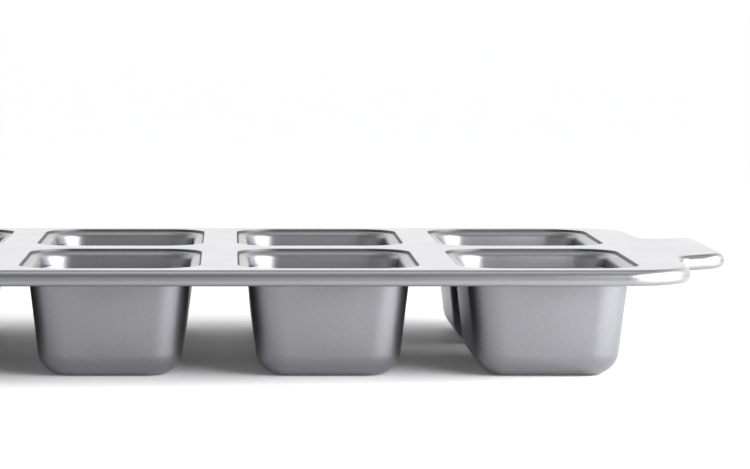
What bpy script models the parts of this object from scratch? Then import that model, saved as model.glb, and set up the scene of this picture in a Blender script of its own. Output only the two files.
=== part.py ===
"""Eight-cup loaf muffin pan: a pressed frame sheet, a wire sealed in its rim, and drawn cups.

X runs along a row of cups, Y from the front row to the back row, Z up from the table.
The origin is on the table under the middle of the pan. Sizes are in metres.
"""

import math

import bmesh
import bpy
from mathutils import Matrix, Vector

# Sheet, and the gap left where two pieces touch
SHEET = 0.0008
SEAT_GAP = 0.0003

# Layout of the cups
COLUMNS = 4
ROWS = ("front", "back")
COLUMN_PITCH = 0.0886
ROW_PITCH = 0.1215

# Frame, without its handle tabs
PAN_HEIGHT = 0.0449
END_MARGIN = 0.0206
SIDE_MARGIN = 0.0110
FRAME_CORNER_RADIUS = 0.028
BEAD_RADIUS = 0.00325
CURL_SWEEP = math.radians(300)
WIRE_GAP = 0.0004

# Handle tabs, bent up a little past the frame's side, and the flare that leads into them.
# Each side of a tab draws in by the taper towards its outer edge.
TAB_REACH = 0.0229
TAB_LENGTH = 0.1050
TAB_TAPER = 0.0040
TAB_CORNER_RADIUS = 0.0125
TAB_RISE = 0.0011
TAB_ROOT_RADIUS = 0.0055
FLARE_REACH = 0.0035
FLARE_LENGTH = 0.024
FLARE_RADIUS = 0.030

# Opening in the frame and the stepped seat round it
OPENING_WIDTH = 0.0736
OPENING_LENGTH = 0.1045
OPENING_CORNER_RADIUS = 0.018
NOSE_INNER_RADIUS = 0.0002
STEP_DOWN = 0.0011
COLLAR_DEPTH = 0.0062

# Cup: outer wall, carried up to the level of the deck, lip and floor
WALL_INSET = 0.0035
DRAFT = math.radians(6.3)
LIP_RADIUS = 0.003
FLOOR_EDGE_RADIUS = 0.0105
FLOOR_CORNER_RADIUS = 0.003

# Swaged bead that locks a cup under its collar; it runs along the long sides and fades at the corners
LOCK_BEAD_HEIGHT = 0.0016
LOCK_BEAD_PROUD = 0.0007
LOCK_BEAD_FADE = 12

# Flat facets that stand for the round shapes
OUTLINE_FACET = math.radians(18)
OPENING_FACET = math.radians(18)
CURL_FACETS = 10
NOSE_FACETS = 2
BEND_FACETS = 2
FLOOR_EDGE_FACETS = 3


def clear_scene():
    for obj in list(bpy.data.objects):
        bpy.data.objects.remove(obj)


def new_collection(name):
    collection = bpy.data.collections.new(name)
    bpy.context.scene.collection.children.link(collection)
    return collection


def metal(name, colour, roughness):
    material = bpy.data.materials.new(name)
    material.use_nodes = True
    shader = material.node_tree.nodes["Principled BSDF"]
    shader.inputs["Base Color"].default_value = (*colour, 1.0)
    shader.inputs["Metallic"].default_value = 1.0
    shader.inputs["Roughness"].default_value = roughness
    material.diffuse_color = (*colour, 1.0)
    return material


def frame_metal():
    """Satin pressed sheet, pale on the deck."""
    return metal("satin_pressed_sheet", (0.66, 0.66, 0.67), 0.36)


def cup_metal():
    """The same sheet, a little rougher where it was drawn down into a cup."""
    return metal("satin_drawn_sheet", (0.58, 0.58, 0.59), 0.42)


def wire_metal():
    """Plain drawn steel wire."""
    return metal("drawn_steel_wire", (0.45, 0.45, 0.46), 0.45)


def filleted_outline(corners, facet):
    """Points of a closed anticlockwise outline, each with its outward normal.

    Each corner is (x, y, radius), and its round is cut into flats that turn by facet.
    """
    outline = []
    for index, (x, y, radius) in enumerate(corners):
        corner = Vector((x, y))
        last = Vector(corners[index - 1][:2])
        following = Vector(corners[(index + 1) % len(corners)][:2])
        along = (corner - last).normalized()
        onward = (following - corner).normalized()
        turn = math.atan2(along.cross(onward), along.dot(onward))
        side = math.copysign(1, turn)
        outward = Vector((along.y, -along.x))
        start = corner - along * radius * math.tan(abs(turn) / 2)
        centre = start - outward * radius * side
        steps = max(1, round(abs(turn) / facet))
        for step in range(steps + 1):
            normal = Matrix.Rotation(turn * step / steps, 2) @ outward
            outline.append((centre + normal * radius * side, normal))
    return outline


def rectangle(half_width, half_length, radius):
    return [
        (half_width, -half_length, radius),
        (half_width, half_length, radius),
        (-half_width, half_length, radius),
        (-half_width, -half_length, radius),
    ]


def ring(outline, inset, height):
    """The outline moved in by inset, at this height."""
    return [(point - normal * inset).to_3d() + Vector((0, 0, height)) for point, normal in outline]


def frame_half_width():
    return (COLUMNS - 1) * COLUMN_PITCH / 2 + OPENING_WIDTH / 2 + END_MARGIN


def frame_half_length():
    return (len(ROWS) - 1) * ROW_PITCH / 2 + OPENING_LENGTH / 2 + SIDE_MARGIN


def rim_outline():
    """The frame's outer edge with both handle tabs, anticlockwise from the front right corner."""
    side = frame_half_width()
    front = frame_half_length()
    tab = TAB_LENGTH / 2
    quarter = [
        (side, front, FRAME_CORNER_RADIUS),
        (side, tab + FLARE_LENGTH, FLARE_RADIUS),
        (side + FLARE_REACH, tab, TAB_ROOT_RADIUS),
        (side + TAB_REACH, tab - TAB_TAPER, TAB_CORNER_RADIUS),
    ]
    right = [(x, -y, radius) for x, y, radius in quarter]
    right += reversed(quarter)
    left = [(-x, -y, radius) for x, y, radius in right]
    return filleted_outline(right + left, OUTLINE_FACET)


def tab_lift(x):
    """How far the bend in a handle tab raises what lies at this x."""
    return max(0, abs(x) - frame_half_width()) * TAB_RISE / TAB_REACH


def crease_crossings(points):
    """The closed loop of points, with one more wherever it crosses a tab's bend."""
    crease = frame_half_width()
    for last, point in zip([points[-1]] + points, points):
        near, far = abs(last.x) - crease, abs(point.x) - crease
        if near * far < 0:
            yield last.lerp(point, near / (near - far))
        yield point


def bend_tabs(mesh):
    """Cuts the frame along both bends and raises the tabs beyond them."""
    for side in (-1, 1):
        parts = [*mesh.verts, *mesh.edges, *mesh.faces]
        bend = Vector((side * frame_half_width(), 0, 0))
        bmesh.ops.bisect_plane(mesh, geom=parts, plane_co=bend, plane_no=Vector((1, 0, 0)))
    for vertex in mesh.verts:
        vertex.co.z += tab_lift(vertex.co.x)


def opening_outline():
    corners = rectangle(OPENING_WIDTH / 2, OPENING_LENGTH / 2, OPENING_CORNER_RADIUS)
    return filleted_outline(corners, OPENING_FACET)


def cup_places():
    """Name and centre of each cup."""
    for row, row_name in enumerate(ROWS):
        for column in range(COLUMNS):
            x = (column - (COLUMNS - 1) / 2) * COLUMN_PITCH
            y = (row - (len(ROWS) - 1) / 2) * ROW_PITCH
            yield f"cup_{row_name}_{column + 1}", Vector((x, y, 0))


def wall_inset(depth):
    """How far inside the opening's outline the cup's outer wall lies, this far below the deck."""
    return WALL_INSET + math.tan(DRAFT) * depth


def lip_bend(radius):
    """(inset, depth) points round the lip, from level to the slope of the wall."""
    back_radius = LIP_RADIUS - SHEET
    centre_depth = STEP_DOWN + LIP_RADIUS
    centre_inset = wall_inset(centre_depth - back_radius * math.sin(DRAFT)) - back_radius * math.cos(DRAFT)
    angles = [(math.pi / 2 - DRAFT) * step / BEND_FACETS for step in range(BEND_FACETS + 1)]
    return [(centre_inset + radius * math.sin(a), centre_depth - radius * math.cos(a)) for a in angles]


def curl_section():
    """(inset, depth) points on the outside of the rim's bead, from the deck round and under."""
    angles = [CURL_SWEEP * step / CURL_FACETS for step in range(CURL_FACETS + 1)]
    return [(BEAD_RADIUS * (1 - math.sin(a)), BEAD_RADIUS * (1 - math.cos(a))) for a in angles]


def seat_section():
    """(inset, depth) points from the deck's nose down the step, along the ledge and down the collar."""
    nose = SHEET + NOSE_INNER_RADIUS
    angles = [math.pi / 2 * step / NOSE_FACETS for step in range(NOSE_FACETS + 1)]
    section = [(-nose * (1 - math.sin(a)), nose * (1 - math.cos(a))) for a in angles]
    section.append((0, STEP_DOWN + SHEET + SEAT_GAP))
    section += lip_bend(LIP_RADIUS - SHEET - SEAT_GAP)
    section.append((wall_inset(COLLAR_DEPTH) - SEAT_GAP / math.cos(DRAFT), COLLAR_DEPTH))
    return section


def cup_neck_rings(opening):
    """Rings on the back of the cup's flange and lip."""
    for inset, depth in [(SEAT_GAP, STEP_DOWN + SHEET)] + lip_bend(LIP_RADIUS - SHEET):
        yield ring(opening, inset, PAN_HEIGHT - depth)


def lock_bead_rings(opening):
    """Rings down over the lock bead: its upper edge, its crest and its lower edge."""
    start = COLLAR_DEPTH + SEAT_GAP / 2
    crest = start + LOCK_BEAD_HEIGHT / 2
    end = start + LOCK_BEAD_HEIGHT
    for depth, proud in ((start, 0), (crest, LOCK_BEAD_PROUD), (end, 0)):
        wall = ring(opening, wall_inset(depth), PAN_HEIGHT - depth)
        normals = [normal.to_3d() for _, normal in opening]
        yield [point + n * proud * abs(n.x) ** LOCK_BEAD_FADE for point, n in zip(wall, normals)]


def cup_foot_rings():
    """Rings round the cup's lower edge, from the end of the wall to the floor."""
    centre_depth = PAN_HEIGHT - FLOOR_EDGE_RADIUS
    wall_end = centre_depth + FLOOR_EDGE_RADIUS * math.sin(DRAFT)
    floor_inset = wall_inset(wall_end) + FLOOR_EDGE_RADIUS * math.cos(DRAFT)
    half_width = OPENING_WIDTH / 2 - floor_inset
    half_length = OPENING_LENGTH / 2 - floor_inset
    for step in range(FLOOR_EDGE_FACETS + 1):
        angle = DRAFT + (math.pi / 2 - DRAFT) * step / FLOOR_EDGE_FACETS
        out = FLOOR_EDGE_RADIUS * math.cos(angle)
        corners = rectangle(half_width + out, half_length + out, FLOOR_CORNER_RADIUS + out)
        height = FLOOR_EDGE_RADIUS * (1 - math.sin(angle))
        yield ring(filleted_outline(corners, OPENING_FACET), 0, height)


def loft(mesh, rings):
    """Faces from each ring of points to the next. Returns the rings' vertices."""
    made = [[mesh.verts.new(point) for point in points] for points in rings]
    for upper, lower in zip(made, made[1:]):
        for index in range(len(upper)):
            mesh.faces.new((upper[index - 1], upper[index], lower[index], lower[index - 1]))
    return made


def close_deck(mesh, edge_rings):
    """The flat deck between the rim and the openings."""
    edges = [mesh.edges.get((loop[i - 1], loop[i])) for loop in edge_rings for i in range(len(loop))]
    filled = bmesh.ops.triangle_fill(mesh, use_beauty=True, edges=edges)
    return [face for face in filled["geom"] if isinstance(face, bmesh.types.BMFace)]


def face_out(mesh, known_face, direction):
    """Turns every face outwards, given one whose outward direction is known."""
    bmesh.ops.recalc_face_normals(mesh, faces=mesh.faces)
    known_face.normal_update()
    if known_face.normal.dot(direction) < 0:
        bmesh.ops.reverse_faces(mesh, faces=mesh.faces)


def frame_surface():
    """Outer side of the frame sheet: deck, curled rim and the seats for the cups."""
    mesh = bmesh.new()
    rim = rim_outline()
    rim_rings = [ring(rim, inset, PAN_HEIGHT - depth) for inset, depth in curl_section()]
    deck_edges = [loft(mesh, rim_rings)[0]]
    opening = opening_outline()
    for _, centre in cup_places():
        seat_rings = []
        for inset, depth in seat_section():
            seat_rings.append([point + centre for point in ring(opening, inset, PAN_HEIGHT - depth)])
        deck_edges.append(loft(mesh, seat_rings)[0])
    deck = close_deck(mesh, deck_edges)
    face_out(mesh, deck[0], Vector((0, 0, 1)))
    bend_tabs(mesh)
    return mesh


def cup_surface():
    """Outer side of one cup: back of the flange, wall with its lock bead, and floor."""
    mesh = bmesh.new()
    opening = opening_outline()
    rings = [*cup_neck_rings(opening), *lock_bead_rings(opening), *cup_foot_rings()]
    floor = mesh.faces.new(loft(mesh, rings)[-1])
    face_out(mesh, floor, Vector((0, 0, -1)))
    return mesh


def mesh_data(mesh, name, material):
    data = bpy.data.meshes.new(name)
    mesh.to_mesh(data)
    mesh.free()
    data.materials.append(material)
    data.shade_smooth()
    data.set_sharp_from_angle(angle=math.radians(35))
    return data


def sheet_object(name, data, collection, base):
    """A piece of sheet metal: the surface in data, thickened inwards."""
    piece = bpy.data.objects.new(name, data)
    piece.parent = base
    collection.objects.link(piece)
    thickness = piece.modifiers.new("sheet_thickness", "SOLIDIFY")
    thickness.thickness = SHEET
    thickness.offset = -1
    thickness.use_even_offset = True
    thickness.use_quality_normals = True
    return piece


def add_frame(collection, base):
    data = mesh_data(frame_surface(), "frame_sheet", frame_metal())
    sheet_object("frame_sheet", data, collection, base)


def add_cups(collection, base):
    data = mesh_data(cup_surface(), "cup", cup_metal())
    for name, centre in cup_places():
        cup = sheet_object(name, data, collection, base)
        cup.location = centre


def add_rim_wire(collection, base):
    """One closed loop of wire along the middle of the rim's bead."""
    curve = bpy.data.curves.new("rim_wire", "CURVE")
    curve.dimensions = "3D"
    curve.bevel_depth = BEAD_RADIUS - SHEET - WIRE_GAP
    curve.bevel_resolution = 2
    points = list(crease_crossings(ring(rim_outline(), BEAD_RADIUS, PAN_HEIGHT - BEAD_RADIUS)))
    spline = curve.splines.new("POLY")
    spline.points.add(len(points) - 1)
    for target, point in zip(spline.points, points):
        target.co = (point.x, point.y, point.z + tab_lift(point.x), 1)
    spline.use_cyclic_u = True
    curve.materials.append(wire_metal())
    wire = bpy.data.objects.new("rim_wire", curve)
    wire.parent = base
    collection.objects.link(wire)


def main():
    clear_scene()
    collection = new_collection("loaf_muffin_pan")
    base = bpy.data.objects.new("pan_base", None)
    collection.objects.link(base)
    add_frame(collection, base)
    add_rim_wire(collection, base)
    add_cups(collection, base)


main()
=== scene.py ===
"""Loaf-cup muffin pan: satin steel cups seated in a pressed frame with a curled, wired rim."""

import math

import bmesh
import bpy
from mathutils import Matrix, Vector


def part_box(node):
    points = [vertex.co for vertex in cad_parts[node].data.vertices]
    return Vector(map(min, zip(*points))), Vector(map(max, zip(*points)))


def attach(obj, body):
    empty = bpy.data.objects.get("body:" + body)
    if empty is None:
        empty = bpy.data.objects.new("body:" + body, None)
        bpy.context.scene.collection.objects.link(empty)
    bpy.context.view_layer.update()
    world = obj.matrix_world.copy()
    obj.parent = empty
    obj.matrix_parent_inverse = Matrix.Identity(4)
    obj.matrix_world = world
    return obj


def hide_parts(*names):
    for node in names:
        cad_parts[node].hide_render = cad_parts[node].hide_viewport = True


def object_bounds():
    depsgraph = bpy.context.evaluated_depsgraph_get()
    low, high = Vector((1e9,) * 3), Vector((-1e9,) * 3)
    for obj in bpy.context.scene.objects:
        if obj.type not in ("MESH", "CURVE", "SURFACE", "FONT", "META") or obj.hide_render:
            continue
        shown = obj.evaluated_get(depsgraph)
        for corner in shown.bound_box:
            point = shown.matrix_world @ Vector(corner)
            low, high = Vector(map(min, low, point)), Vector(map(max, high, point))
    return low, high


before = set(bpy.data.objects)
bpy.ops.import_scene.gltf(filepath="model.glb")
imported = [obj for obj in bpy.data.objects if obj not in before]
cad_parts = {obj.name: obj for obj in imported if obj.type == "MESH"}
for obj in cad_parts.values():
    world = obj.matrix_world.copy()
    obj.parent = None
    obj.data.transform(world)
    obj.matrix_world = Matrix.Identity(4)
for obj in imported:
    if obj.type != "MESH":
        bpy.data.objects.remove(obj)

bl_info = {
    "name": "Loaf-cup muffin pan",
    "version": (1, 0, 0),
    "blender": (4, 5, 0),
    "location": "3D View > Sidebar > Muffin pan",
    "description": "Builds the pan's frame, rim wire and cups, and the studio they stand in",
    "category": "Add Mesh",
}

MM = 0.001
CAD_LOW, CAD_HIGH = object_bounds()
STEP_DOWN = 1.1 * MM
CUPS = sorted(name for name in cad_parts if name.startswith("cup_"))
DECK_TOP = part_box(CUPS[0])[1].z + STEP_DOWN

# Front edge of the board that the pan stands on, and half its width, in metres
FLOOR_FRONT = -0.42
FLOOR_HALF = 60.0

# Middle of the side panel, in metres
PANEL_PLACE = Vector((0.58, -0.34, 0.22))

# Where each part of the soft room fades, along the direction's X, Y or Z
UPPER_FADE = (0.5, 0.9)
TOP_FADE = (0.88, 1.0)
LOW_START = (-0.03, 0.03)
LOW_END = (0.15, 0.4)
BACK_FADE = (-0.05, 0.3)
BACK_TOP = (0.35, 0.9)
RIGHT_FADE = (0.1, 0.85)

# Flat strip that keeps the shading level beside a rounded edge
DECK_STRIP = 1.2 * MM

# How soon a cup's walls reach their full belly below the lip; less is sooner
BELLY_FULLNESS = 0.7

# Painted shade in the seams round the cups, where the deck steps down to each flange: its tone beside
# the satin metal's, its roughness, and the depths below the deck where it starts and where it is full
SEAM_SHADE_TONE = 0.33
SEAM_ROUGHNESS = 0.5
SEAM_SHADE_START = 0.05 * MM
SEAM_SHADE_FULL = 0.1 * MM

# How sharply the lock beads die out towards a cup's corners
LOCK_FADE = 12.0

# Flats that stand for each round, and steps along each wall
EDGE_FACETS = 14
CURL_FACETS = 60
NOSE_FACETS = 6
SEAT_LIP_FACETS = 8
CUP_LIP_FACETS = 12
LOCK_STEPS = 12
WALL_STEPS = 12
FOOT_FACETS = 16
CUP_CORNER_FACETS = 16
CUP_SIDE_POINTS = 7
WIRE_FACETS = 20
TAB_BEND_STEPS = 5

# The metals' noise: its detail, the spans of it that turn into gloss and specks, and the grain's depth
GRAIN_DETAIL = 2.0
GLOSS_DETAIL = 1.0
GLOSS_SPAN = (0.3, 0.7)
SPECK_SPAN = (0.55, 0.76)
GRAIN_DEPTH = 0.02 * MM

# The board's unevenness: patches per metre, their detail, and the tone of the darkest
BOARD_PATCHES = 18.0
BOARD_DETAIL = 3.0
BOARD_DIM = 0.97

# Points this close are one point, edges this close to a level lie in it, and a cut this close
# to a point goes through it
WELD = 0.01 * MM
LEVEL_MARGIN = 0.02 * MM
CUT_MARGIN = 0.001 * MM

# The photograph's frame, in pixels
PHOTO_WIDTH = 750
PHOTO_HEIGHT = 469
VANISHING_X = 231
HORIZON_Y = 13
FOCAL_PIXELS = 3116

# The camera's sensor, in millimetres
SENSOR_WIDTH = 36.0


def length(name, description, default, **more):
    """A size that a user can change."""
    return bpy.props.FloatProperty(
        name=name, description=description, default=default, precision=5, unit="LENGTH", **more
    )


def colour(name, description, default):
    """A colour that a user can change, as an sRGB hex."""
    return bpy.props.StringProperty(name=name, description=description, default=default)


def share(name, description, default):
    """A share from 0 to 1 that a user can change."""
    return bpy.props.FloatProperty(
        name=name, description=description, default=default, min=0, max=1, subtype="FACTOR"
    )


def strength(name, description, default):
    """A light's strength, which a user can change."""
    return bpy.props.FloatProperty(name=name, description=description, default=default, min=0)


class PanSheetSizes(bpy.types.PropertyGroup):
    """Sizes of the pressed sheet: its deck, rim, handle tabs and cups"""

    sheet: length("Sheet", "Thickness of the steel sheet", 0.8 * MM)
    seat_gap: length("Seat gap", "Gap between a cup and the seat it rests in", 0.08 * MM)
    column_pitch: length("Column pitch", "From one cup to the next along a row", 88.6 * MM)
    row_pitch: length("Row pitch", "From the front row to the back row", 121.5 * MM)
    frame_corner: length("Frame corner", "Radius of the frame's corners", 28.0 * MM)
    tab_reach: length("Tab reach", "How far a handle tab stands out from the frame", 22.9 * MM)
    tab_length: length("Tab length", "Length of a handle tab along the frame's end", 105.0 * MM)
    tab_taper: length("Tab taper", "How far each side of a tab draws in towards its edge", 4.0 * MM)
    tab_corner: length("Tab corner", "Radius of a handle tab's outer corners", 12.5 * MM)
    tab_root: length("Tab root", "Radius where the flare meets the tab", 5.5 * MM)
    tab_rise: length("Tab rise", "How far a tab's bend lifts its outer edge", 1.1 * MM)
    tab_bend: length("Tab bend", "Width of that bend", 2.0 * MM)
    flare_reach: length("Flare reach", "How far the frame's end swells before the tab", 3.5 * MM)
    flare_length: length("Flare length", "Length of that swelling", 24.0 * MM)
    flare_radius: length("Flare radius", "Radius where the swelling starts", 30.0 * MM)
    bead_radius: length("Bead radius", "Outside radius of the curled rim", 3.25 * MM)
    bead_squareness: bpy.props.FloatProperty(
        name="Bead squareness",
        description="2 is round; more flattens the rim's outer face",
        default=3.4,
    )
    curl_sweep: bpy.props.FloatProperty(
        name="Curl sweep",
        description="How far the rim curls round its wire",
        default=math.radians(300),
        subtype="ANGLE",
    )
    wire_gap: length("Wire gap", "Gap between the wire and the curl round it", 0.4 * MM)
    opening_width: length("Opening width", "Width of an opening at the step", 73.6 * MM)
    opening_length: length("Opening length", "Length of an opening at the step", 104.5 * MM)
    opening_corner: length("Opening corner", "Corner radius of an opening", 18.0 * MM)
    nose_radius: length("Nose radius", "Radius of the deck's edge at the step", 0.1 * MM)
    step_down: length("Step", "From the deck down to a cup's flange", STEP_DOWN)
    collar_depth: length("Collar depth", "From the deck down to the collar's lower edge", 6.2 * MM)
    wall_inset: length("Wall inset", "Cup's outer wall inside the step, at deck level", 3.5 * MM)
    draft: bpy.props.FloatProperty(
        name="Draft",
        description="Lean of the cup's walls",
        default=math.radians(6.3),
        subtype="ANGLE",
    )
    lip_radius: length("Lip radius", "Radius where the flange turns down into the cup", 3.0 * MM)
    belly: length("Belly", "How far a cup's flat walls bow outwards", 0.6 * MM)
    floor_edge: length("Floor edge", "Radius between the cup's wall and floor", 10.5 * MM)
    floor_corner: length("Floor corner", "Corner radius of the cup's flat floor", 3.0 * MM)
    lock_height: length("Lock bead height", "Height of the bead under the collar", 1.6 * MM)
    lock_proud: length("Lock bead", "How far that bead stands out on the cup's long sides", 0.7 * MM)


class PanFinishes(bpy.types.PropertyGroup):
    """Colours, roughness and grain of the metals and the floor"""

    frame_colour: colour("Frame", "Satin metal of the frame, as an sRGB hex", "909093")
    frame_roughness: share("Frame roughness", "How far the frame spreads what it mirrors", 0.3)
    frame_specks: share("Frame specks", "How much lighter the frame's specks are", 0.02)
    frame_relief: share("Frame relief", "Depth of the frame's grain", 0.0)
    cup_colour: colour("Cups", "Satin metal of the cups, as an sRGB hex", "858589")
    cup_roughness: share("Cup roughness", "How far the cups spread what they mirror", 0.37)
    cup_specks: share("Cup specks", "How much lighter the cups' specks are", 0.22)
    cup_relief: share("Cup relief", "Depth of the cups' grain", 0.2)
    wire_colour: colour("Wire", "Drawn steel of the rim wire, as an sRGB hex", "8E8E90")
    wire_roughness: share("Wire roughness", "How far the wire spreads what it mirrors", 0.45)
    wire_specks: share("Wire specks", "How much lighter the wire's specks are", 0.1)
    wire_relief: share("Wire relief", "Depth of the wire's grain", 0.2)
    # Real satin grain is about a tenth of this; it is drawn coarser so that it shows
    grain: length("Grain", "Size of the metal's fine grain", 0.55 * MM)
    gloss_patch: length("Gloss patch", "Size of the slow changes of gloss", 22.0 * MM)
    gloss_change: share("Gloss change", "How far the roughness strays to each side", 0.015)
    floor_colour: colour("Floor", "Pale floor, as an sRGB hex", "F0F0F1")
    floor_roughness: share("Floor roughness", "How matt the floor is", 0.7)
    # Painted glow: faint light that the board gives off itself, which lifts the shade under the pan
    floor_painted_glow: strength("Floor glow", "Faint light through the board", 0.055)


class PanStudio(bpy.types.PropertyGroup):
    """Light and camera"""

    eye_height: length("Eye height", "Camera above the deck", 101.6 * MM)
    eye_distance: length("Eye distance", "Camera in front of the frame's front edge", 1228 * MM)
    eye_side: length("Eye side", "Camera to the right of the pan's middle", 4.8 * MM)
    back_light: strength("Back", "Backdrop's light", 1.68)
    right_light: strength("Right", "Right wall's light", 2.1)
    top_light: strength("Top", "Ceiling's light", 1.75)
    upper_light: strength("Upper", "Upper walls' light", 0.65)
    room_light: strength("Room", "Dim room's light", 0.34)
    low_light: strength("Low", "Room's light near the floor", 0.95)
    backdrop: strength("Backdrop", "Backdrop as the camera sees it", 1.05)
    panel_light: strength("Panel", "Side panel's light, in watts", 10.4)
    panel_length: length("Panel length", "Length of the side panel", 0.88)
    panel_height: length("Panel height", "Height of the side panel", 0.42)


def linear(hex_colour):
    """Linear RGBA of an sRGB hex colour."""
    parts = [int(hex_colour[i : i + 2], 16) / 255 for i in (0, 2, 4)]
    return (*(c / 12.92 if c <= 0.04045 else ((c + 0.055) / 1.055) ** 2.4 for c in parts), 1.0)


def scaled(tint, factor):
    """The colour made darker or lighter by the factor."""
    return (*(c * factor for c in tint[:3]), 1.0)


def add_node(tree, kind, inputs=None, **settings):
    """One node with its settings; inputs are values, or sockets to link, by name or place."""
    node = tree.nodes.new(kind)
    for name, value in settings.items():
        setattr(node, name, value)
    for key, value in (inputs or {}).items():
        if isinstance(value, bpy.types.NodeSocket):
            tree.links.new(value, node.inputs[key])
        else:
            node.inputs[key].default_value = value
    return node


def mixed(tree, factor, first, second):
    """The colour between the first and the second by the factor."""
    inputs = {"Factor": factor, "A": first, "B": second}
    return add_node(tree, "ShaderNodeMix", inputs, data_type="RGBA").outputs["Result"]


def geometry_tree(name, inputs):
    """An empty Geometry Nodes tree with these (name, socket type) inputs."""
    tree = bpy.data.node_groups.new(name, "GeometryNodeTree")
    for socket_name, kind in inputs:
        tree.interface.new_socket(socket_name, in_out="INPUT", socket_type=kind)
    tree.interface.new_socket("Geometry", in_out="OUTPUT", socket_type="NodeSocketGeometry")
    return tree, add_node(tree, "NodeGroupInput").outputs


def end_tree(tree, geometry, material):
    """Shades, realizes and gives the material, as the last nodes of a tree."""
    smooth = add_node(tree, "GeometryNodeSetShadeSmooth", {0: geometry})
    real = add_node(tree, "GeometryNodeRealizeInstances", {0: smooth.outputs[0]})
    dressed = add_node(tree, "GeometryNodeSetMaterial", {"Geometry": real.outputs[0], "Material": material})
    add_node(tree, "NodeGroupOutput", {0: dressed.outputs[0]})


def guide_curve(name, points, radii=None, swell=None, belly=None, cyclic=False):
    """A curve that a tree reads: a section, or an outline's corners with their radii.
    Its points' tilt carries the swell of a section, and their Z its belly."""
    data = bpy.data.curves.new(name, "CURVE")
    data.dimensions = "3D"
    spline = data.splines.new("POLY")
    spline.points.add(len(points) - 1)
    for index, (x, y) in enumerate(points):
        spline.points[index].co = (x, y, belly[index] if belly else 0, 1)
        spline.points[index].radius = radii[index] if radii else 1
        spline.points[index].tilt = swell[index] if swell else 0
    spline.use_cyclic_u = cyclic
    guide = bpy.data.objects.new(name, data)
    bpy.context.scene.collection.objects.link(guide)
    return guide


def tree_mesh(name, tree, values):
    """Plain mesh made by the tree with these input values."""
    data = bpy.data.meshes.new(name)
    carrier = bpy.data.objects.new(name + "_carrier", data)
    bpy.context.scene.collection.objects.link(carrier)
    modifier = carrier.modifiers.new("shape", "NODES")
    modifier.node_group = tree
    sockets = {item.name: item.identifier for item in tree.interface.items_tree if item.in_out == "INPUT"}
    for key, value in values.items():
        modifier[sockets[key]] = value
    graph = bpy.context.evaluated_depsgraph_get()
    made = bpy.data.meshes.new_from_object(carrier.evaluated_get(graph))
    carrier.modifiers.clear()
    bpy.data.objects.remove(carrier)
    made.name = name
    return made


def bend_tabs(data, sizes):
    """Bends the handle tabs up where they leave the frame's sides."""
    side = CAD_HIGH.x - sizes.tab_reach
    bend = sizes.tab_bend

    def bent(beyond):
        return beyond * beyond / (2 * bend) if beyond < bend else beyond - bend / 2

    mesh = bmesh.new()
    mesh.from_mesh(data)
    rows = [side + bend * step / TAB_BEND_STEPS for step in range(TAB_BEND_STEPS + 1)]
    for x in [-row for row in rows] + rows:
        parts = [*mesh.verts, *mesh.edges, *mesh.faces]
        bmesh.ops.bisect_plane(mesh, geom=parts, dist=CUT_MARGIN, plane_co=(x, 0, 0), plane_no=(1, 0, 0))
    for vertex in mesh.verts:
        vertex.co.z += sizes.tab_rise * bent(max(0, abs(vertex.co.x) - side)) / bent(sizes.tab_reach)
    mesh.to_mesh(data)
    mesh.free()


def face_out(data, point, direction):
    """Turns all faces the same way round, so that the face nearest the point faces the direction."""
    mesh = bmesh.new()
    mesh.from_mesh(data)
    bmesh.ops.recalc_face_normals(mesh, faces=mesh.faces)
    nearest = min(mesh.faces, key=lambda face: (face.calc_center_median() - point).length)
    if nearest.normal.dot(direction) < 0:
        bmesh.ops.reverse_faces(mesh, faces=mesh.faces)
    mesh.to_mesh(data)
    mesh.free()


def add_piece(name, data, node):
    """The finished piece: it stands for a CAD node and rides on the pan."""
    piece = bpy.data.objects.new(name, data)
    bpy.context.scene.collection.objects.link(piece)
    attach(piece, "root")
    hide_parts(node)
    return piece


def thicken(piece, sheet):
    """Gives the outer skin its thickness, inwards."""
    wall = piece.modifiers.new("sheet_thickness", "SOLIDIFY")
    wall.thickness = sheet
    wall.offset = -1
    wall.use_even_offset = True
    wall.use_quality_normals = True


def arc(centre, radius, start, end, steps):
    """(inset, depth) points round an arc; its angles start straight up and turn outwards."""
    angles = [start + (end - start) * step / steps for step in range(steps + 1)]
    return [(centre[0] - radius * math.sin(a), centre[1] - radius * math.cos(a)) for a in angles]


def wall_inset(sizes, depth):
    """How far inside the step a cup's outer wall is at this depth."""
    return sizes.wall_inset + math.tan(sizes.draft) * depth


def lip_bend(sizes, radius, steps):
    """Round the lip, from level to the wall's slope."""
    back = sizes.lip_radius - sizes.sheet
    depth = sizes.step_down + sizes.lip_radius
    inset = wall_inset(sizes, depth - back * math.sin(sizes.draft)) - back * math.cos(sizes.draft)
    return arc((inset, depth), radius, 0, sizes.draft - math.pi / 2, steps)


def curl_section(sizes):
    """Outside of the rim: a strip of deck, then the bead round and under."""
    bead = sizes.bead_radius
    section = [(bead + DECK_STRIP, 0)]
    for inset, depth in arc((bead, bead), bead, 0, sizes.curl_sweep, CURL_FACETS):
        out, down = (bead - inset) / bead, (depth - bead) / bead
        if out > 0 and down > 0:
            inset = bead - bead * out ** (2 / sizes.bead_squareness)
            depth = bead + bead * down ** (2 / sizes.bead_squareness)
        section.append((inset, depth))
    return section


def seat_section(sizes, nose):
    """Upper side of a seat: a strip of deck, the nose, the step, the ledge and the collar."""
    section = [(-sizes.sheet - DECK_STRIP, 0)]
    section += arc((-nose, nose), nose, 0, -math.pi / 2, NOSE_FACETS)
    section.append((0, sizes.step_down + sizes.sheet + sizes.seat_gap))
    section += lip_bend(sizes, sizes.lip_radius - sizes.sheet - sizes.seat_gap, SEAT_LIP_FACETS)
    depth = sizes.collar_depth
    section.append((wall_inset(sizes, depth) - sizes.seat_gap / math.cos(sizes.draft), depth))
    return section


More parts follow.
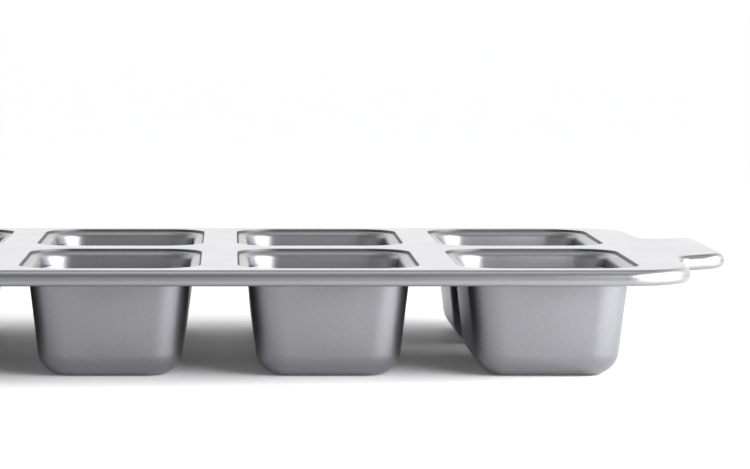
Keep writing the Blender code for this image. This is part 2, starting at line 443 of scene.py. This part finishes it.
def sheet_section(face, base, behind):
    """The face, then back along the base moved behind by the sheet's thickness."""
    points = [Vector(point) for point in base]
    runs = [(after - before).normalized() for before, after in zip(points, points[1:])]
    back = []
    for index, point in enumerate(points):
        before, after = runs[max(index - 1, 0)], runs[min(index, len(runs) - 1)]
        mitre = Vector((-before.y - after.y, before.x + after.x)) / (1 + before.dot(after))
        back.append(tuple(point + mitre * behind))
    return face + back[::-1]


def cup_section(sizes):
    """Outside of the cup from flange to floor: (inset, depth) points, corner radii, swell and belly."""
    section = [(sizes.seat_gap, sizes.step_down + sizes.sheet)]
    section += lip_bend(sizes, sizes.lip_radius - sizes.sheet, CUP_LIP_FACETS)
    start = sizes.collar_depth + sizes.seat_gap / 2
    swell = [0.0] * len(section)
    for step in range(LOCK_STEPS + 1):
        depth = start + sizes.lock_height * step / LOCK_STEPS
        section.append((wall_inset(sizes, depth), depth))
        swell.append(sizes.lock_proud * (1 - math.cos(2 * math.pi * step / LOCK_STEPS)) / 2)
    radii = [sizes.opening_corner - inset for inset, _ in section]
    edge = sizes.floor_edge
    centre_depth = DECK_TOP - edge
    wall_end = centre_depth + edge * math.sin(sizes.draft)
    centre_inset = wall_inset(sizes, wall_end) + edge * math.cos(sizes.draft)
    neck_end = start + sizes.lock_height
    neck_radius = radii[-1]
    foot_radius = sizes.floor_corner + edge * math.cos(sizes.draft)
    belly = [0.0] * len(section)
    for step in range(1, WALL_STEPS):
        down = step / WALL_STEPS
        depth = neck_end + (wall_end - neck_end) * down
        section.append((wall_inset(sizes, depth), depth))
        radii.append(neck_radius + (foot_radius - neck_radius) * down)
        belly.append(sizes.belly * math.sin(math.pi * down) ** BELLY_FULLNESS)
    foot = arc((centre_inset, centre_depth), edge, math.pi / 2 + sizes.draft, math.pi, FOOT_FACETS)
    section += foot
    radii += [sizes.floor_corner + centre_inset - inset for inset, _ in foot]
    section.append((centre_inset + DECK_STRIP, DECK_TOP))
    radii.append(sizes.floor_corner)
    swell += [0.0] * (len(section) - len(swell))
    belly += [0.0] * (len(section) - len(belly))
    return section, radii, swell, belly


def frame_corners(sizes):
    """Corners of the frame's outer edge, clockwise, and the radius of each."""
    front = CAD_HIGH.y
    side = CAD_HIGH.x - sizes.tab_reach
    tab = sizes.tab_length / 2
    quarter = [
        ((side, front), sizes.frame_corner),
        ((side, tab + sizes.flare_length), sizes.flare_radius),
        ((side + sizes.flare_reach, tab), sizes.tab_root),
        ((CAD_HIGH.x, tab - sizes.tab_taper), sizes.tab_corner),
    ]
    right = quarter + [((x, -y), radius) for (x, y), radius in quarter[::-1]]
    left = [((-x, -y), radius) for (x, y), radius in right]
    return [point for point, _ in right + left], [radius for _, radius in right + left]


def rounded_edge_nodes(tree, edge):
    """Nodes that round the guide's corners by each point's own radius."""
    info = add_node(tree, "GeometryNodeObjectInfo", {"Object": edge})
    radius = add_node(tree, "GeometryNodeInputRadius")
    rounded = add_node(
        tree,
        "GeometryNodeFilletCurve",
        {"Curve": info.outputs["Geometry"], "Count": EDGE_FACETS, "Radius": radius.outputs[0]},
        mode="POLY",
    )
    unit = add_node(tree, "GeometryNodeSetCurveRadius", {"Curve": rounded.outputs[0], "Radius": 1.0})
    return add_node(tree, "GeometryNodeSetCurveNormal", {0: unit.outputs[0]}, mode="Z_UP").outputs[0]


def swept_nodes(tree, path, section):
    """Nodes that run the section guide along the path."""
    info = add_node(tree, "GeometryNodeObjectInfo", {"Object": section})
    curves = {"Curve": path, "Profile Curve": info.outputs["Geometry"]}
    return add_node(tree, "GeometryNodeCurveToMesh", curves).outputs[0]


def frame_tree():
    """Deck filled between the curled rim and the seats, which repeat on a grid of cup places."""
    tree, given = geometry_tree(
        "pressed_frame",
        [
            ("Edge", "NodeSocketObject"),
            ("Curl", "NodeSocketObject"),
            ("Seat", "NodeSocketObject"),
            ("Opening Width", "NodeSocketFloat"),
            ("Opening Length", "NodeSocketFloat"),
            ("Opening Corner", "NodeSocketFloat"),
            ("Columns", "NodeSocketInt"),
            ("Rows", "NodeSocketInt"),
            ("Grid Width", "NodeSocketFloat"),
            ("Grid Length", "NodeSocketFloat"),
            ("Deck Top", "NodeSocketFloat"),
            ("Sheet", "NodeSocketFloat"),
            ("Material", "NodeSocketMaterial"),
        ],
    )
    rim = swept_nodes(tree, rounded_edge_nodes(tree, given["Edge"]), given["Curl"])
    corners = add_node(
        tree,
        "GeometryNodeCurvePrimitiveQuadrilateral",
        {"Width": given["Opening Width"], "Height": given["Opening Length"]},
        mode="RECTANGLE",
    )
    opening = add_node(
        tree,
        "GeometryNodeFilletCurve",
        {"Curve": corners.outputs[0], "Count": EDGE_FACETS, "Radius": given["Opening Corner"]},
        mode="POLY",
    )
    turned = add_node(tree, "GeometryNodeReverseCurve", {0: opening.outputs[0]})
    level = add_node(tree, "GeometryNodeSetCurveNormal", {0: turned.outputs[0]}, mode="Z_UP")
    swept = swept_nodes(tree, level.outputs[0], given["Seat"])
    # Marks everything below the deck's nose on each seat, where the painted shade of the seam goes
    place = add_node(tree, "GeometryNodeInputPosition").outputs[0]
    height = add_node(tree, "ShaderNodeSeparateXYZ", {0: place}).outputs["Z"]
    seam = add_node(tree, "ShaderNodeMapRange", {"Value": height, 1: -SEAM_SHADE_START, 2: -SEAM_SHADE_FULL})
    seat = add_node(
        tree,
        "GeometryNodeStoreNamedAttribute",
        {"Geometry": swept, "Name": "seam", "Value": seam.outputs[0]},
        data_type="FLOAT",
        domain="POINT",
    ).outputs[0]
    places = add_node(
        tree,
        "GeometryNodeMeshGrid",
        {
            "Size X": given["Grid Width"],
            "Size Y": given["Grid Length"],
            "Vertices X": given["Columns"],
            "Vertices Y": given["Rows"],
        },
    )
    seats = add_node(tree, "GeometryNodeInstanceOnPoints", {"Points": places.outputs[0], "Instance": seat})
    real_seats = add_node(tree, "GeometryNodeRealizeInstances", {0: seats.outputs[0]})
    skins = add_node(tree, "GeometryNodeJoinGeometry")
    tree.links.new(rim, skins.inputs[0])
    tree.links.new(real_seats.outputs[0], skins.inputs[0])
    under = add_node(tree, "ShaderNodeMath", {0: 0.0, 1: given["Sheet"]}, operation="SUBTRACT")
    whole = add_node(tree, "GeometryNodeJoinGeometry")
    tree.links.new(skins.outputs[0], whole.inputs[0])
    for face in (0.0, under.outputs[0]):
        tree.links.new(filled_ring_nodes(tree, skins.outputs[0], face), whole.inputs[0])
    welded = add_node(tree, "GeometryNodeMergeByDistance", {"Geometry": whole.outputs[0], "Distance": WELD})
    lift = add_node(tree, "ShaderNodeCombineXYZ", {"Z": given["Deck Top"]})
    raised = add_node(
        tree, "GeometryNodeTransform", {"Geometry": welded.outputs[0], "Translation": lift.outputs[0]}
    )
    end_tree(tree, raised.outputs[0], given["Material"])
    return tree


def filled_ring_nodes(tree, mesh, level):
    """Nodes that fill, flat, between the mesh's open edges at this height."""
    neighbours = add_node(tree, "GeometryNodeInputMeshEdgeNeighbors")
    open_edge = add_node(
        tree, "FunctionNodeCompare", {2: neighbours.outputs[0], 3: 1}, data_type="INT", operation="EQUAL"
    )
    position = add_node(tree, "GeometryNodeInputPosition")
    height = add_node(tree, "ShaderNodeSeparateXYZ", {0: position.outputs[0]})
    at_level = add_node(
        tree,
        "FunctionNodeCompare",
        {"A": height.outputs["Z"], "B": level, "Epsilon": LEVEL_MARGIN},
        data_type="FLOAT",
        operation="EQUAL",
    )
    chosen = add_node(
        tree, "FunctionNodeBooleanMath", {0: open_edge.outputs[0], 1: at_level.outputs[0]}, operation="AND"
    )
    loops = add_node(tree, "GeometryNodeMeshToCurve", {"Mesh": mesh, "Selection": chosen.outputs[0]})
    return add_node(tree, "GeometryNodeFillCurve", {"Curve": loops.outputs[0]}, mode="TRIANGLES").outputs[0]


def cup_tree():
    """Drawn cup: rounded-rectangle rings whose inset, height and corner radius follow the section."""
    tree, given = geometry_tree(
        "drawn_cup",
        [
            ("Section", "NodeSocketObject"),
            ("Half Width", "NodeSocketFloat"),
            ("Half Length", "NodeSocketFloat"),
            ("Corner Facets", "NodeSocketInt"),
            ("Side Points", "NodeSocketInt"),
            ("Centre", "NodeSocketVector"),
            ("Material", "NodeSocketMaterial"),
        ],
    )

    def sums(operation, first, second=0.0):
        """Result of one sum on numbers."""
        return add_node(tree, "ShaderNodeMath", {0: first, 1: second}, operation=operation).outputs[0]

    def vectors(operation, first, second):
        """Result of one sum on vectors."""
        inputs = {0: first, "Scale" if operation == "SCALE" else 1: second}
        return add_node(tree, "ShaderNodeVectorMath", inputs, operation=operation).outputs[0]

    def stored(geometry, name, value, kind):
        """The geometry with the value kept on it under this name."""
        inputs = {"Geometry": geometry, "Name": name, "Value": value}
        return add_node(tree, "GeometryNodeStoreNamedAttribute", inputs, data_type=kind).outputs[0]

    def named(name, kind):
        """What was kept under this name."""
        return add_node(tree, "GeometryNodeInputNamedAttribute", {"Name": name}, data_type=kind).outputs[0]

    side_facets = sums("ADD", given["Side Points"], 1.0)
    ring_points = sums("ADD", given["Corner Facets"], side_facets)
    count = sums("MULTIPLY", ring_points, 4.0)
    circle = add_node(tree, "GeometryNodeCurvePrimitiveCircle", {"Resolution": count}, mode="RADIUS")
    index = add_node(tree, "GeometryNodeInputIndex").outputs[0]
    corner = sums("FLOOR", sums("DIVIDE", sums("ADD", index, 0.5), ring_points))
    step = sums("SUBTRACT", index, sums("MULTIPLY", corner, ring_points))
    turned = sums("DIVIDE", sums("MINIMUM", step, given["Corner Facets"]), given["Corner Facets"])
    angle = sums("MULTIPLY", sums("ADD", corner, turned), math.pi / 2)
    normal = add_node(tree, "ShaderNodeCombineXYZ", {0: sums("COSINE", angle), 1: sums("SINE", angle)})
    past = sums("MAXIMUM", sums("SUBTRACT", step, given["Corner Facets"]), 0.0)
    along_side = sums("DIVIDE", past, side_facets)
    to_go = sums("SUBTRACT", 1.0, along_side)

    def corner_signs(offset):
        """The X and Y signs of the corner that lies this many quarter turns on."""
        diagonal = sums("MULTIPLY", sums("ADD", corner, offset), math.pi / 2)
        signs = {0: sums("SIGN", sums("COSINE", diagonal)), 1: sums("SIGN", sums("SINE", diagonal))}
        return add_node(tree, "ShaderNodeCombineXYZ", signs).outputs[0]

    this_corner = vectors("SCALE", corner_signs(0.5), to_go)
    sign = vectors("ADD", this_corner, vectors("SCALE", corner_signs(1.5), along_side))
    middle = sums("MULTIPLY", sums("MULTIPLY", along_side, to_go), 4.0)
    path = stored(circle.outputs[0], "ring_normal", normal.outputs[0], "FLOAT_VECTOR")
    path = stored(path, "ring_corner", sign, "FLOAT_VECTOR")
    path = stored(path, "ring_middle", middle, "FLOAT")
    info = add_node(tree, "GeometryNodeObjectInfo", {"Object": given["Section"]})
    place = add_node(tree, "GeometryNodeInputPosition").outputs[0]
    radius = add_node(tree, "GeometryNodeInputRadius").outputs[0]
    section = stored(info.outputs["Geometry"], "section_place", place, "FLOAT_VECTOR")
    section = stored(section, "section_corner", radius, "FLOAT")
    tilt = add_node(tree, "GeometryNodeInputCurveTilt").outputs[0]
    section = stored(section, "section_swell", tilt, "FLOAT")
    skin = add_node(tree, "GeometryNodeCurveToMesh", {"Curve": path, "Profile Curve": section}).outputs[0]
    split = add_node(tree, "ShaderNodeSeparateXYZ", {0: named("section_place", "FLOAT_VECTOR")})
    rounding = named("section_corner", "FLOAT")
    inset = sums("ADD", split.outputs["X"], rounding)
    core = add_node(
        tree,
        "ShaderNodeCombineXYZ",
        {0: sums("SUBTRACT", given["Half Width"], inset), 1: sums("SUBTRACT", given["Half Length"], inset)},
    )
    corner_place = vectors("MULTIPLY", named("ring_corner", "FLOAT_VECTOR"), core.outputs[0])
    facing = named("ring_normal", "FLOAT_VECTOR")
    across = add_node(tree, "ShaderNodeSeparateXYZ", {0: facing}).outputs["X"]
    along = sums("POWER", sums("ABSOLUTE", across), LOCK_FADE)
    swell = sums("MULTIPLY", named("section_swell", "FLOAT"), along)
    belly = sums("MULTIPLY", split.outputs["Z"], named("ring_middle", "FLOAT"))
    bulge = vectors("SCALE", facing, sums("ADD", sums("ADD", rounding, swell), belly))
    below = sums("SUBTRACT", 0.0, split.outputs["Y"])
    height = add_node(tree, "ShaderNodeCombineXYZ", {"Z": below}).outputs[0]
    flat = vectors("ADD", corner_place, bulge)
    shaped = add_node(
        tree,
        "GeometryNodeSetPosition",
        {"Geometry": skin, "Position": vectors("ADD", flat, height)},
    ).outputs[0]
    lifted = add_node(
        tree, "GeometryNodeTransform", {"Geometry": shaped, "Translation": given["Centre"]}
    ).outputs[0]
    floor = filled_ring_nodes(tree, lifted, 0.0)
    whole = add_node(tree, "GeometryNodeJoinGeometry")
    tree.links.new(lifted, whole.inputs[0])
    tree.links.new(floor, whole.inputs[0])
    welded = add_node(tree, "GeometryNodeMergeByDistance", {"Geometry": whole.outputs[0], "Distance": WELD})
    end_tree(tree, welded.outputs[0], given["Material"])
    return tree


def wire_tree():
    """Round wire run along the inside of the bead."""
    tree, given = geometry_tree(
        "wire_in_rim",
        [
            ("Edge", "NodeSocketObject"),
            ("Wire", "NodeSocketObject"),
            ("Deck Top", "NodeSocketFloat"),
            ("Material", "NodeSocketMaterial"),
        ],
    )
    swept = swept_nodes(tree, rounded_edge_nodes(tree, given["Edge"]), given["Wire"])
    lift = add_node(tree, "ShaderNodeCombineXYZ", {"Z": given["Deck Top"]})
    raised = add_node(tree, "GeometryNodeTransform", {"Geometry": swept, "Translation": lift.outputs[0]})
    end_tree(tree, raised.outputs[0], given["Material"])
    return tree


def metal_material(name, finishes, hex_colour, roughness, specks, relief):
    """Metal with a fine matt grain, small light specks and a slow change of gloss over the surface."""
    material = bpy.data.materials.new(name)
    material.use_nodes = True
    tree = material.node_tree
    shader = tree.nodes["Principled BSDF"]
    shader.inputs["Metallic"].default_value = 1.0
    place = add_node(tree, "ShaderNodeTexCoord").outputs["Object"]
    fine_noise = {"Vector": place, "Scale": 1 / finishes.grain, "Detail": GRAIN_DETAIL}
    fine = add_node(tree, "ShaderNodeTexNoise", fine_noise).outputs["Fac"]
    broad_noise = {"Vector": place, "Scale": 1 / finishes.gloss_patch, "Detail": GLOSS_DETAIL}
    broad = add_node(tree, "ShaderNodeTexNoise", broad_noise).outputs["Fac"]
    low, high = roughness - finishes.gloss_change, roughness + finishes.gloss_change
    gloss_range = {"Value": broad, 1: GLOSS_SPAN[0], 2: GLOSS_SPAN[1], 3: low, 4: high}
    gloss = add_node(tree, "ShaderNodeMapRange", gloss_range).outputs[0]
    speck_range = {"Value": fine, 1: SPECK_SPAN[0], 2: SPECK_SPAN[1]}
    speck = add_node(tree, "ShaderNodeMapRange", speck_range).outputs[0]
    tint = linear(hex_colour)
    tone = mixed(tree, speck, tint, scaled(tint, 1 + specks))
    # Painted shade: the marked seam is darkened to a third of the metal's tone, standing in for the shadow
    # in the crevice round each cup
    seam = add_node(tree, "ShaderNodeAttribute", attribute_name="seam").outputs["Fac"]
    whole = mixed(tree, seam, tone, scaled(tint, SEAM_SHADE_TONE))
    matt = add_node(tree, "ShaderNodeMapRange", {"Value": seam, 3: gloss, 4: SEAM_ROUGHNESS})
    tree.links.new(whole, shader.inputs["Base Color"])
    tree.links.new(matt.outputs[0], shader.inputs["Roughness"])
    bump = add_node(tree, "ShaderNodeBump", {"Height": fine, "Strength": relief, "Distance": GRAIN_DEPTH})
    tree.links.new(bump.outputs[0], shader.inputs["Normal"])
    return material


class PAN_OT_frame_sheet(bpy.types.Operator):
    """Adds the pressed frame: deck, curled rim, handle tabs and the seats for the cups"""

    bl_idname = "muffin_pan.frame_sheet"
    bl_label = "Frame sheet"

    def execute(self, context):
        sizes, finishes = context.scene.pan_sizes, context.scene.pan_finishes
        # Rolled sheet with a satin finish, pressed flat: an even pale sheen with hardly any grain
        steel = metal_material(
            "satin_pressed_steel",
            finishes,
            finishes.frame_colour,
            finishes.frame_roughness,
            finishes.frame_specks,
            finishes.frame_relief,
        )
        corners, radii = frame_corners(sizes)
        sheet = sizes.sheet
        curl = sheet_section(curl_section(sizes), curl_section(sizes), -sheet)
        seat = sheet_section(seat_section(sizes, sizes.nose_radius), seat_section(sizes, sheet), sheet)
        columns = len({round(sum(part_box(name)[i].x for i in (0, 1)), 4) for name in CUPS})
        rows = len(CUPS) // columns
        guides = {
            "Edge": guide_curve("edge_guide", corners, radii, cyclic=True),
            "Curl": guide_curve("curl_guide", curl),
            "Seat": guide_curve("seat_guide", seat),
        }
        data = tree_mesh(
            "pressed_frame",
            frame_tree(),
            {
                **guides,
                "Opening Width": sizes.opening_width,
                "Opening Length": sizes.opening_length,
                "Opening Corner": sizes.opening_corner,
                "Columns": columns,
                "Rows": rows,
                "Grid Width": (columns - 1) * sizes.column_pitch,
                "Grid Length": (rows - 1) * sizes.row_pitch,
                "Deck Top": DECK_TOP,
                "Sheet": sheet,
                "Material": steel,
            },
        )
        for guide in guides.values():
            bpy.data.objects.remove(guide)
        bend_tabs(data, sizes)
        face_out(data, Vector((0, 0, DECK_TOP)), Vector((0, 0, 1)))
        add_piece("pressed_frame", data, "frame_sheet")
        return {"FINISHED"}


class PAN_OT_cups(bpy.types.Operator):
    """Adds the drawn cups, each in its seat"""

    bl_idname = "muffin_pan.cups"
    bl_label = "Cups"

    def execute(self, context):
        sizes, finishes = context.scene.pan_sizes, context.scene.pan_finishes
        # The same sheet drawn deep, which darkens it a little and brings up a fine speckle
        steel = metal_material(
            "satin_drawn_steel",
            finishes,
            finishes.cup_colour,
            finishes.cup_roughness,
            finishes.cup_specks,
            finishes.cup_relief,
        )
        guide = guide_curve("cup_guide", *cup_section(sizes))
        tree = cup_tree()
        for name in CUPS:
            low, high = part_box(name)
            centre = ((low.x + high.x) / 2, (low.y + high.y) / 2, DECK_TOP)
            data = tree_mesh(
                "drawn_" + name,
                tree,
                {
                    "Section": guide,
                    "Half Width": sizes.opening_width / 2,
                    "Half Length": sizes.opening_length / 2,
                    "Corner Facets": CUP_CORNER_FACETS,
                    "Side Points": CUP_SIDE_POINTS,
                    "Centre": centre,
                    "Material": steel,
                },
            )
            face_out(data, Vector((centre[0], centre[1], 0)), Vector((0, 0, -1)))
            thicken(add_piece("drawn_" + name, data, name), sizes.sheet)
        bpy.data.objects.remove(guide)
        return {"FINISHED"}


class PAN_OT_rim_wire(bpy.types.Operator):
    """Adds the wire inside the curled rim"""

    bl_idname = "muffin_pan.rim_wire"
    bl_label = "Rim wire"

    def execute(self, context):
        sizes, finishes = context.scene.pan_sizes, context.scene.pan_finishes
        # Plain drawn wire: dull and unpolished
        steel = metal_material(
            "drawn_steel_wire",
            finishes,
            finishes.wire_colour,
            finishes.wire_roughness,
            finishes.wire_specks,
            finishes.wire_relief,
        )
        corners, radii = frame_corners(sizes)
        bead = sizes.bead_radius
        radius = bead - sizes.sheet - sizes.wire_gap
        wire = arc((bead, bead), radius, 0, 2 * math.pi, WIRE_FACETS)[:-1]
        guides = {
            "Edge": guide_curve("edge_guide", corners, radii, cyclic=True),
            "Wire": guide_curve("wire_guide", wire, cyclic=True),
        }
        data = tree_mesh("rim_wire_loop", wire_tree(), {**guides, "Deck Top": DECK_TOP, "Material": steel})
        for guide in guides.values():
            bpy.data.objects.remove(guide)
        bend_tabs(data, sizes)
        low_point = Vector((0, CAD_LOW.y + bead, 0))
        face_out(data, low_point, Vector((0, 0, -1)))
        add_piece("rim_wire_loop", data, "rim_wire")
        return {"FINISHED"}


def floor_material(finishes):
    """Matt painted board: pale and faintly uneven, without gloss, with a faint painted glow of its own."""
    material = bpy.data.materials.new("matt_pale_board")
    material.use_nodes = True
    tree = material.node_tree
    shader = tree.nodes["Principled BSDF"]
    shader.inputs["Roughness"].default_value = finishes.floor_roughness
    # Painted glow: the board gives off faint light of its own, which lifts the shade under the pan
    shader.inputs["Emission Color"].default_value = (1, 1, 1, 1)
    shader.inputs["Emission Strength"].default_value = finishes.floor_painted_glow
    place = add_node(tree, "ShaderNodeTexCoord").outputs["Object"]
    noise = {"Vector": place, "Scale": BOARD_PATCHES, "Detail": BOARD_DETAIL}
    cloud = add_node(tree, "ShaderNodeTexNoise", noise).outputs["Fac"]
    tint = linear(finishes.floor_colour)
    tree.links.new(mixed(tree, cloud, scaled(tint, BOARD_DIM), tint), shader.inputs["Base Color"])
    return material


def add_floor(finishes):
    """Wide board whose front edge lies a little before the pan, outside the picture."""
    mesh = bmesh.new()
    bmesh.ops.create_grid(mesh, x_segments=2, y_segments=2, size=FLOOR_HALF)
    bmesh.ops.translate(mesh, verts=mesh.verts, vec=(0, FLOOR_HALF + FLOOR_FRONT, 0))
    data = bpy.data.meshes.new("studio_floor")
    mesh.to_mesh(data)
    mesh.free()
    data.materials.append(floor_material(finishes))
    floor = bpy.data.objects.new("studio_floor", data)
    bpy.context.scene.collection.objects.link(floor)


def add_world(studio):
    """Soft room: bright backdrop, right wall and ceiling, and a dim camera side, paler near the floor."""
    world = bpy.data.worlds.new("soft_studio")
    bpy.context.scene.world = world
    world.use_nodes = True
    tree = world.node_tree
    tree.nodes.clear()
    direction = add_node(tree, "ShaderNodeTexCoord").outputs["Generated"]
    split = add_node(tree, "ShaderNodeSeparateXYZ", {0: direction})

    def card(axis, fade, low, high):
        """Light that goes softly from low to high along the axis, between the fade's two places."""
        inputs = {"Value": split.outputs[axis], 1: fade[0], 2: fade[1], 3: low, 4: high}
        return add_node(tree, "ShaderNodeMapRange", inputs, interpolation_type="SMOOTHSTEP").outputs[0]

    def combined(operation, first, second):
        """Result of one sum on two lights."""
        return add_node(tree, "ShaderNodeMath", {0: first, 1: second}, operation=operation).outputs[0]

    room = card("Z", UPPER_FADE, studio.room_light, studio.upper_light)
    low = combined("MULTIPLY", card("Z", LOW_START, 0, 1), card("Z", LOW_END, studio.low_light, 0))
    room = combined("MAXIMUM", room, low)
    room = combined("MAXIMUM", room, card("Z", TOP_FADE, 0, studio.top_light))
    backdrop = combined("MULTIPLY", card("Y", BACK_FADE, 0, 1), card("Z", BACK_TOP, studio.back_light, 0))
    light = combined("MAXIMUM", room, backdrop)
    light = combined("MAXIMUM", light, card("X", RIGHT_FADE, 0, studio.right_light))
    rays = add_node(tree, "ShaderNodeLightPath")
    seen = add_node(tree, "ShaderNodeBackground", {"Strength": studio.backdrop})
    lit = add_node(tree, "ShaderNodeBackground", {"Strength": light})
    parts = {0: rays.outputs["Is Camera Ray"], 1: lit.outputs[0], 2: seen.outputs[0]}
    both = add_node(tree, "ShaderNodeMixShader", parts)
    add_node(tree, "ShaderNodeOutputWorld", {"Surface": both.outputs[0]})
    seen.inputs["Color"].default_value = (1, 1, 1, 1)
    lit.inputs["Color"].default_value = (1, 1, 1, 1)


def add_side_panel(studio):
    """Long low panel close by at the right, which brightens the floor and the cups on that side."""
    data = bpy.data.lights.new("side_panel", "AREA")
    data.energy = studio.panel_light
    data.shape = "RECTANGLE"
    data.size = studio.panel_length
    data.size_y = studio.panel_height
    panel = bpy.data.objects.new("side_panel", data)
    panel.location = PANEL_PLACE
    pan_front = Vector((0, CAD_LOW.y, 0))
    panel.rotation_euler = (PANEL_PLACE - pan_front).to_track_quat("Z", "Y").to_euler()
    bpy.context.scene.collection.objects.link(panel)


def add_camera(studio):
    """Camera at the photograph's place, with its lens and its sideways shift."""
    data = bpy.data.cameras.new("photo_camera")
    data.sensor_width = SENSOR_WIDTH
    data.lens = FOCAL_PIXELS / PHOTO_WIDTH * SENSOR_WIDTH
    data.shift_x = (PHOTO_WIDTH / 2 - VANISHING_X) / PHOTO_WIDTH
    data.dof.use_dof = False
    camera = bpy.data.objects.new("photo_camera", data)
    tilt = math.atan((PHOTO_HEIGHT / 2 - HORIZON_Y) / FOCAL_PIXELS)
    camera.location = (studio.eye_side, CAD_LOW.y - studio.eye_distance, DECK_TOP + studio.eye_height)
    camera.rotation_euler = (math.pi / 2 - tilt, 0, 0)
    bpy.context.scene.collection.objects.link(camera)
    bpy.context.scene.camera = camera


class PAN_OT_stage(bpy.types.Operator):
    """Adds the floor, the soft room, the side panel and the camera"""

    bl_idname = "muffin_pan.stage"
    bl_label = "Stage"

    def execute(self, context):
        studio = context.scene.pan_studio
        add_floor(context.scene.pan_finishes)
        add_world(studio)
        add_side_panel(studio)
        add_camera(studio)
        context.scene.view_settings.view_transform = "Standard"
        return {"FINISHED"}


class PAN_PT_sidebar(bpy.types.Panel):
    """Lists the sizes, the finishes and the steps that build the pan"""

    bl_label = "Muffin pan"
    bl_space_type = "VIEW_3D"
    bl_region_type = "UI"
    bl_category = "Muffin pan"

    def draw(self, context):
        for step in STEPS:
            self.layout.operator(step.bl_idname)
        for group in (context.scene.pan_sizes, context.scene.pan_finishes, context.scene.pan_studio):
            box = self.layout.box()
            for name in group.bl_rna.properties.keys():
                if name not in ("rna_type", "name"):
                    box.prop(group, name)


STEPS = (PAN_OT_frame_sheet, PAN_OT_rim_wire, PAN_OT_cups, PAN_OT_stage)
GROUPS = {"pan_sizes": PanSheetSizes, "pan_finishes": PanFinishes, "pan_studio": PanStudio}


def register():
    for group in GROUPS.values():
        bpy.utils.register_class(group)
    for name, group in GROUPS.items():
        setattr(bpy.types.Scene, name, bpy.props.PointerProperty(type=group))
    for step in STEPS:
        bpy.utils.register_class(step)
    bpy.utils.register_class(PAN_PT_sidebar)


def unregister():
    bpy.utils.unregister_class(PAN_PT_sidebar)
    for step in reversed(STEPS):
        bpy.utils.unregister_class(step)
    for name, group in GROUPS.items():
        delattr(bpy.types.Scene, name)
        bpy.utils.unregister_class(group)


def main():
    register()
    bpy.ops.muffin_pan.frame_sheet()
    bpy.ops.muffin_pan.rim_wire()
    bpy.ops.muffin_pan.cups()
    bpy.ops.muffin_pan.stage()


if __name__ == "__main__":
    main()
